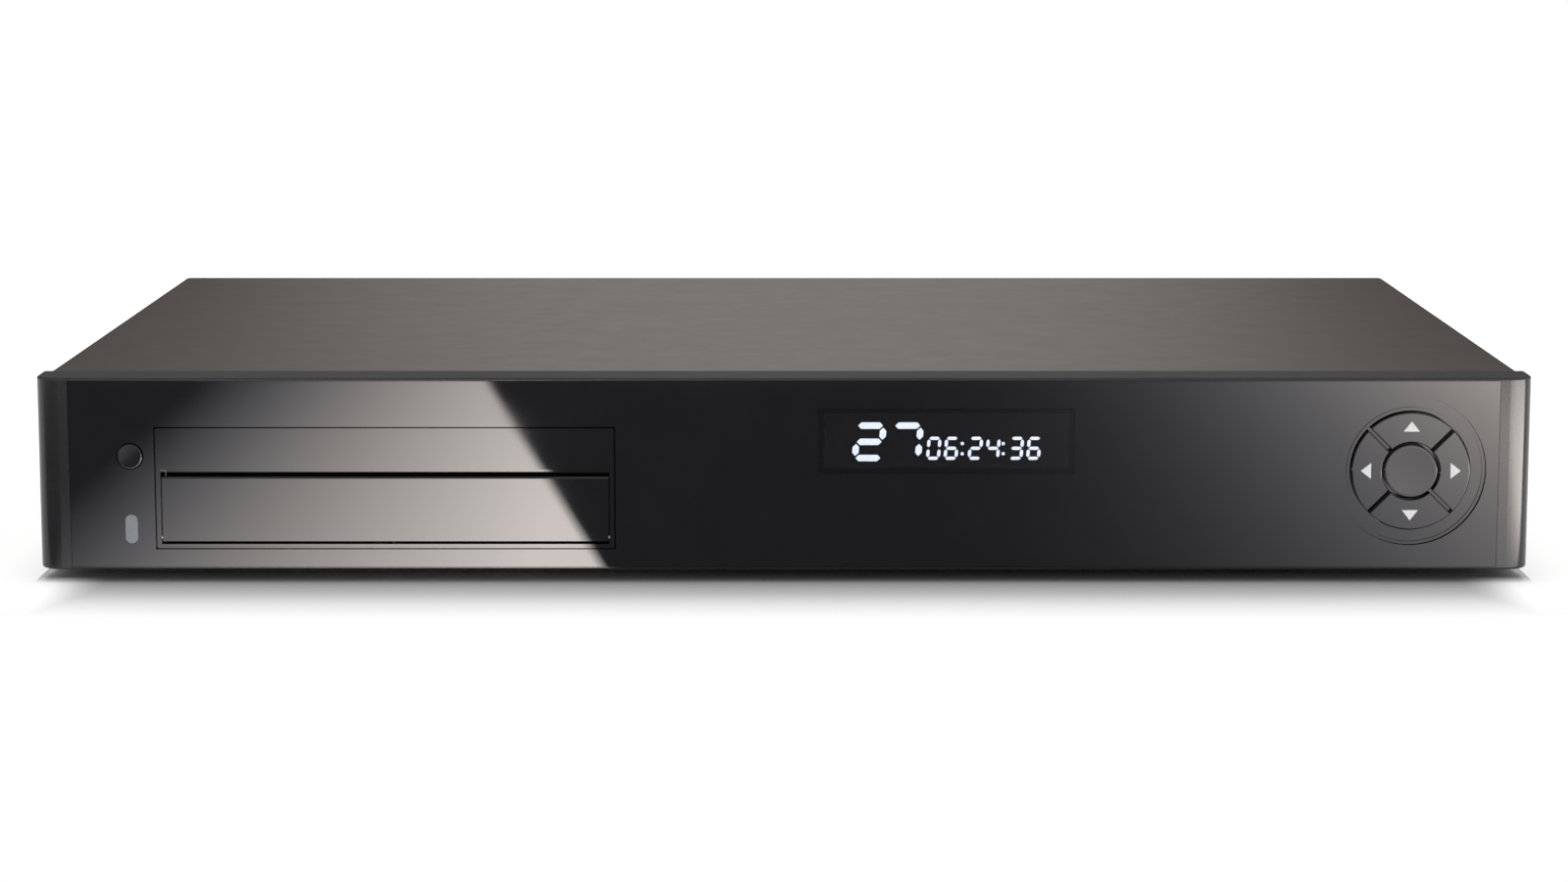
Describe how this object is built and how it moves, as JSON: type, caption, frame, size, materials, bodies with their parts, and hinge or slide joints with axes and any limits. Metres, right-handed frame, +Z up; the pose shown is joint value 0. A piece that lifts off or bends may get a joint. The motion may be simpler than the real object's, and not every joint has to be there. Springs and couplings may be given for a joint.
{
  "type": "media player with hard drive tray",
  "caption": "Full-width low media player with a slide-out hard-drive tray behind a flip-down door, a display window, a round navigation pad and rear connectors.",
  "frame": {"origin": "middle of the footprint, on the surface that the player stands on", "axes": "+X to the right as seen from the front, +Y to the back (the front faces -Y), +Z up"},
  "size_m": [0.4362, 0.2858, 0.06],
  "materials": {
    "chassis_base": "black powder coat, fine texture",
    "rear_panel": "black powder coat",
    "top_cover": "dark grey-brown satin paint",
    "front_frame": "galvanised sheet",
    "feet": "black moulding",
    "foot_pads": "black",
    "case_screws": "black oxide",
    "inner_screws": "zinc plated",
    "front_fascia": "black moulding, satin",
    "front_panel": "glossy black acrylic",
    "display_window": "smoked acrylic",
    "display_tube": "dark glass display",
    "status_light": "milky light pipe",
    "front_boards": "green solder mask",
    "tact_switches": "black",
    "nav_bezel": "glossy black",
    "guide_rails": "natural acetal",
    "tray_detents": "spring steel",
    "bay_cage": "galvanised sheet",
    "backplane_board": "green solder mask",
    "backplane_socket": "black",
    "main_board": "green solder mask",
    "standoffs": "plain",
    "board_chips": "black epoxy",
    "soc_heatsink": "plain",
    "capacitors": "sleeved",
    "psu_board": "tan board",
    "psu_transformer": "yellow tape on dark ferrite",
    "psu_heatsinks": "plain",
    "power_inlet": "black",
    "inlet_pins": "nickel-plated",
    "rocker_frame": "black",
    "fan_frame": "black",
    "network_jack": "shielded shell",
    "usb_ports": "shielded shell",
    "hdmi_port": "shielded shell",
    "av_jacks": "black",
    "jack_sleeves": "gold-plated",
    "jack_inserts": "coloured inserts",
    "front_ribbon": "grey flat cable",
    "supply_leads": "insulated wire",
    "tray_body": "black moulding",
    "tray_bezel": "glossy black",
    "flap_pin": "plain",
    "flap_spring": "spring wire",
    "drive_casting": "die-cast",
    "drive_lid": "stainless lid",
    "drive_board": "green solder mask",
    "drive_screws": "zinc plated",
    "tray_flap": "glossy black",
    "drive_platters": "polished",
    "drive_head_arm": "plain",
    "key_up": "glossy black",
    "key_down": "glossy black",
    "key_left": "glossy black",
    "key_right": "glossy black",
    "key_ok": "glossy black",
    "power_button": "glossy black",
    "power_rocker": "black",
    "fan_rotor": "black"
  },
  "bodies": {
    "case": {"chassis_base": "chassis_base", "rear_panel": "rear_panel", "top_cover": "top_cover", "front_frame": "front_frame", "feet": "feet", "foot_pads": "foot_pads", "case_screws": "case_screws", "inner_screws": "inner_screws", "front_fascia": "front_fascia", "front_panel": "front_panel", "display_window": "display_window", "display_tube": "display_tube", "status_light": "status_light", "front_boards": "front_boards", "tact_switches": "tact_switches", "nav_bezel": "nav_bezel", "guide_rails": "guide_rails", "tray_detents": "tray_detents", "bay_cage": "bay_cage", "backplane_board": "backplane_board", "backplane_socket": "backplane_socket", "main_board": "main_board", "standoffs": "standoffs", "board_chips": "board_chips", "soc_heatsink": "soc_heatsink", "capacitors": "capacitors", "psu_board": "psu_board", "psu_transformer": "psu_transformer", "psu_heatsinks": "psu_heatsinks", "power_inlet": "power_inlet", "inlet_pins": "inlet_pins", "rocker_frame": "rocker_frame", "fan_frame": "fan_frame", "network_jack": "network_jack", "usb_ports": "usb_ports", "hdmi_port": "hdmi_port", "av_jacks": "av_jacks", "jack_sleeves": "jack_sleeves", "jack_inserts": "jack_inserts", "front_ribbon": "front_ribbon", "supply_leads": "supply_leads"},
    "tray": {"tray_body": "tray_body", "tray_bezel": "tray_bezel", "flap_pin": "flap_pin", "flap_spring": "flap_spring", "drive_casting": "drive_casting", "drive_lid": "drive_lid", "drive_board": "drive_board", "drive_screws": "drive_screws"},
    "flap": {"tray_flap": "tray_flap"},
    "platters": {"drive_platters": "drive_platters"},
    "head_arm": {"drive_head_arm": "drive_head_arm"},
    "key_up": {"key_up": "key_up"},
    "key_down": {"key_down": "key_down"},
    "key_left": {"key_left": "key_left"},
    "key_right": {"key_right": "key_right"},
    "key_ok": {"key_ok": "key_ok"},
    "power_button": {"power_button": "power_button"},
    "rocker": {"power_rocker": "power_rocker"},
    "fan": {"fan_rotor": "fan_rotor"}
  },
  "joints": [
    {"name": "tray_slide", "type": "slide", "parent": "case", "child": "tray", "axis": [0, -1, 0], "range_m": [0, 0.14], "deforming": ["tray_detents"]},
    {"name": "flap_hinge", "type": "hinge", "parent": "tray", "child": "flap", "pos_m": [-0.1156, -0.1407, 0.01325], "axis": [1, 0, 0], "range_deg": [0, 80], "stiffness_Nm_per_rad": 0.01, "springref_deg": -14.32, "deforming": ["flap_spring"]},
    {"name": "platter_spin", "type": "hinge", "parent": "tray", "child": "platters", "pos_m": [-0.1156, -0.0768, 0.0232], "axis": [0, 0, 1], "continuous": true},
    {"name": "head_arm_swing", "type": "hinge", "parent": "tray", "child": "head_arm", "pos_m": [-0.0856, -0.0203, 0.0232], "axis": [0, 0, 1], "range_deg": [0, 22]},
    {"name": "key_up_press", "type": "slide", "parent": "case", "child": "key_up", "axis": [0, 1, 0], "range_m": [0, 0.0007], "stiffness_N_per_m": 600, "springref_m": -0.0005},
    {"name": "key_down_press", "type": "slide", "parent": "case", "child": "key_down", "axis": [0, 1, 0], "range_m": [0, 0.0007], "stiffness_N_per_m": 600, "springref_m": -0.0005},
    {"name": "key_left_press", "type": "slide", "parent": "case", "child": "key_left", "axis": [0, 1, 0], "range_m": [0, 0.0007], "stiffness_N_per_m": 600, "springref_m": -0.0005},
    {"name": "key_right_press", "type": "slide", "parent": "case", "child": "key_right", "axis": [0, 1, 0], "range_m": [0, 0.0007], "stiffness_N_per_m": 600, "springref_m": -0.0005},
    {"name": "key_ok_press", "type": "slide", "parent": "case", "child": "key_ok", "axis": [0, 1, 0], "range_m": [0, 0.0007], "stiffness_N_per_m": 600, "springref_m": -0.0005},
    {"name": "power_press", "type": "slide", "parent": "case", "child": "power_button", "axis": [0, 1, 0], "range_m": [0, 0.0007], "stiffness_N_per_m": 600, "springref_m": -0.0005},
    {"name": "rocker_tilt", "type": "hinge", "parent": "case", "child": "rocker", "pos_m": [-0.1541, 0.1323, 0.0239], "axis": [1, 0, 0], "range_deg": [0, 18]},
    {"name": "fan_spin", "type": "hinge", "parent": "case", "child": "fan", "pos_m": [-0.038, 0.1268, 0.0258], "axis": [0, 1, 0], "continuous": true}
  ]
}
